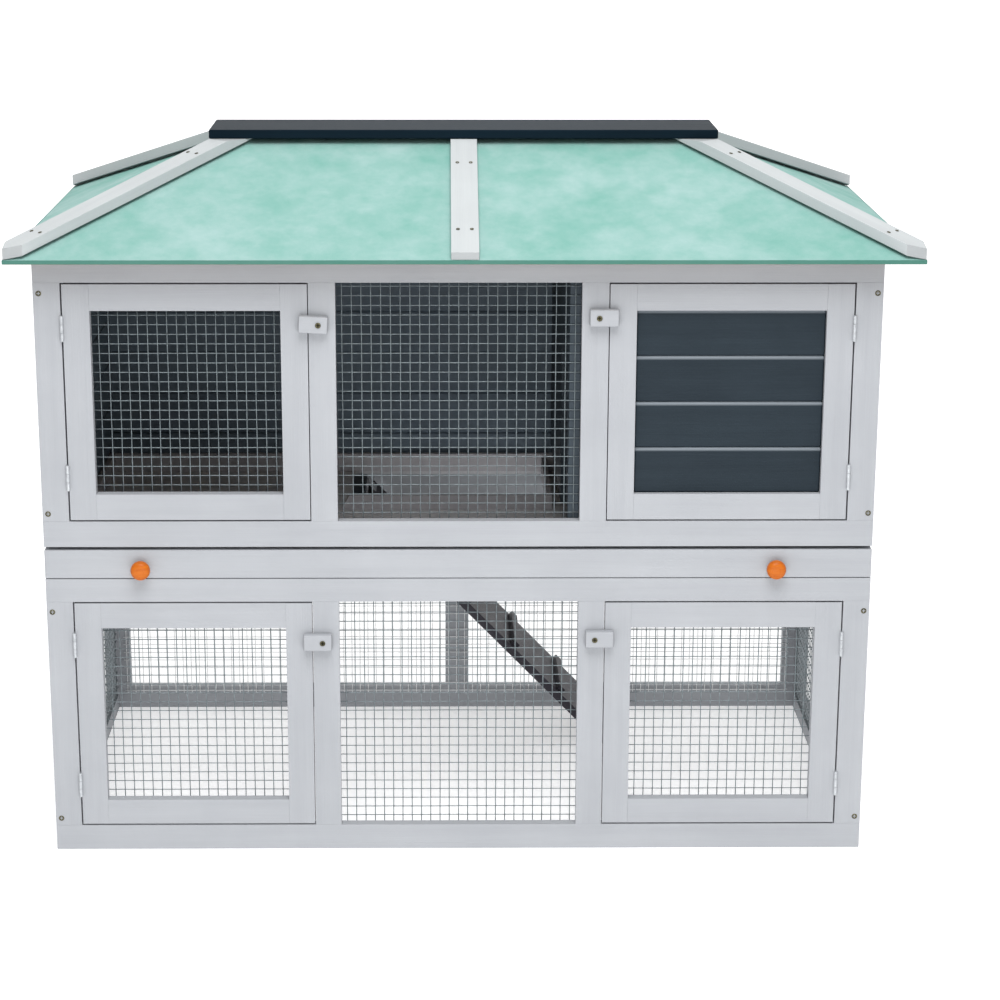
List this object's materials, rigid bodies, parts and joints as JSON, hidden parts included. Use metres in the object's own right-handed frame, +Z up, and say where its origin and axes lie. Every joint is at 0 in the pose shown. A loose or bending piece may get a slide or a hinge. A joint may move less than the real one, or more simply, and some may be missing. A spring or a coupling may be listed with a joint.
{
  "type": "rabbit hutch",
  "caption": "Two-storey timber rabbit hutch with welded-wire fronts, hinged doors, turn buttons, a pull-out tray, a hinged ramp and a hipped felt roof.",
  "frame": {"origin": "on the ground, under the middle of the body", "axes": "+Z up, +X to the right of a person facing the doors, +Y from the doors towards the back"},
  "size_m": [1.176, 0.656, 0.9549],
  "materials": {
    "grey_white_timber": "cool grey-white water-based stain on planed softwood",
    "white_timber": "near-white stain on planed softwood",
    "dark_boards": "anthracite stain on softwood boards",
    "blue_grey_timber": "dark blue-grey stain on planed softwood",
    "roof_timber": "bare softwood under the felt",
    "grey_tray_timber": "grey stain on softwood and plywood",
    "orange_wood": "orange satin varnish on turned wood",
    "green_felt": "pale mint mineral-surfaced roofing felt",
    "galvanised_wire": "galvanised welded wire",
    "hinge_steel": "zinc-plated sheet and pin",
    "yellow_zinc_steel": "yellow zinc-plated"
  },
  "bodies": {
    "hutch": {"back_wall_boards": "dark_boards", "batten_screws": "yellow_zinc_steel", "centre_battens": "white_timber", "corner_screws": "yellow_zinc_steel", "floor_bearers": "dark_boards", "hinge_fixed_leaves": "hinge_steel", "hip_battens": "white_timber", "lower_back_mesh": "galvanised_wire", "lower_back_rails": "grey_white_timber", "lower_back_stiles": "grey_white_timber", "lower_centre_mesh": "galvanised_wire", "lower_front_rails": "grey_white_timber", "lower_front_stiles": "grey_white_timber", "lower_side_meshes": "galvanised_wire", "lower_side_rails": "grey_white_timber", "lower_side_stiles": "grey_white_timber", "nest_partition": "dark_boards", "ridge_beam": "roof_timber", "ridge_cap": "blue_grey_timber", "roof_board_back": "roof_timber", "roof_board_ends": "roof_timber", "roof_board_front": "roof_timber", "roof_felt_back": "green_felt", "roof_felt_ends": "green_felt", "roof_felt_front": "green_felt", "side_wall_boards": "dark_boards", "tray_runners": "dark_boards", "tray_slot_rails": "grey_white_timber", "turn_button_screws": "yellow_zinc_steel", "upper_back_rails": "grey_white_timber", "upper_back_stiles": "grey_white_timber", "upper_centre_mesh": "galvanised_wire", "upper_front_rails": "grey_white_timber", "upper_front_stiles": "grey_white_timber", "upper_side_rails": "grey_white_timber", "upper_side_stiles": "grey_white_timber"},
    "lower_left_door": {"lower_left_door_frame": "grey_white_timber", "lower_left_door_mesh": "galvanised_wire", "lower_left_door_leaves": "hinge_steel"},
    "lower_right_door": {"lower_right_door_frame": "grey_white_timber", "lower_right_door_mesh": "galvanised_wire", "lower_right_door_leaves": "hinge_steel"},
    "upper_left_door": {"upper_left_door_frame": "grey_white_timber", "upper_left_door_mesh": "galvanised_wire", "upper_left_door_leaves": "hinge_steel"},
    "upper_right_door": {"upper_right_door_frame": "grey_white_timber", "upper_right_door_boards": "dark_boards", "upper_right_door_leaves": "hinge_steel"},
    "lower_left_button": {"lower_left_turn_button": "grey_white_timber"},
    "lower_right_button": {"lower_right_turn_button": "grey_white_timber"},
    "upper_left_button": {"upper_left_turn_button": "grey_white_timber"},
    "upper_right_button": {"upper_right_turn_button": "grey_white_timber"},
    "tray": {"tray_front": "grey_white_timber", "tray_base": "grey_tray_timber", "tray_walls": "grey_tray_timber", "tray_knobs": "orange_wood"},
    "ramp": {"ramp_board": "dark_boards", "ramp_cleats": "dark_boards", "ramp_hinge_leaves": "hinge_steel"}
  },
  "joints": [
    {"name": "lower_left_door_hinge", "type": "hinge", "parent": "hutch", "child": "lower_left_door", "pos_m": [-0.514, -0.2925, 0.195], "axis": [0, 0, -1], "range_deg": [0, 170]},
    {"name": "lower_right_door_hinge", "type": "hinge", "parent": "hutch", "child": "lower_right_door", "pos_m": [0.514, -0.2925, 0.195], "axis": [0, 0, 1], "range_deg": [0, 170]},
    {"name": "upper_left_door_hinge", "type": "hinge", "parent": "hutch", "child": "upper_left_door", "pos_m": [-0.514, -0.2925, 0.6265], "axis": [0, 0, -1], "range_deg": [0, 170]},
    {"name": "upper_right_door_hinge", "type": "hinge", "parent": "hutch", "child": "upper_right_door", "pos_m": [0.514, -0.2925, 0.6265], "axis": [0, 0, 1], "range_deg": [0, 170]},
    {"name": "lower_left_button_turn", "type": "hinge", "parent": "hutch", "child": "lower_left_button", "pos_m": [-0.182, -0.296, 0.3], "axis": [0, 1, 0], "continuous": true},
    {"name": "lower_right_button_turn", "type": "hinge", "parent": "hutch", "child": "lower_right_button", "pos_m": [0.182, -0.296, 0.304], "axis": [0, 1, 0], "continuous": true},
    {"name": "upper_left_button_turn", "type": "hinge", "parent": "hutch", "child": "upper_left_button", "pos_m": [-0.182, -0.296, 0.7325], "axis": [0, 1, 0], "continuous": true},
    {"name": "upper_right_button_turn", "type": "hinge", "parent": "hutch", "child": "upper_right_button", "pos_m": [0.182, -0.296, 0.7415], "axis": [0, 1, 0], "continuous": true},
    {"name": "tray_slide", "type": "slide", "parent": "hutch", "child": "tray", "axis": [0, -1, 0], "range_m": [0, 0.48]},
    {"name": "ramp_hinge", "type": "hinge", "parent": "hutch", "child": "ramp", "pos_m": [-0.1355, 0.1805, 0.3835], "axis": [0, -1, 0], "range_deg": [0, 38]}
  ]
}
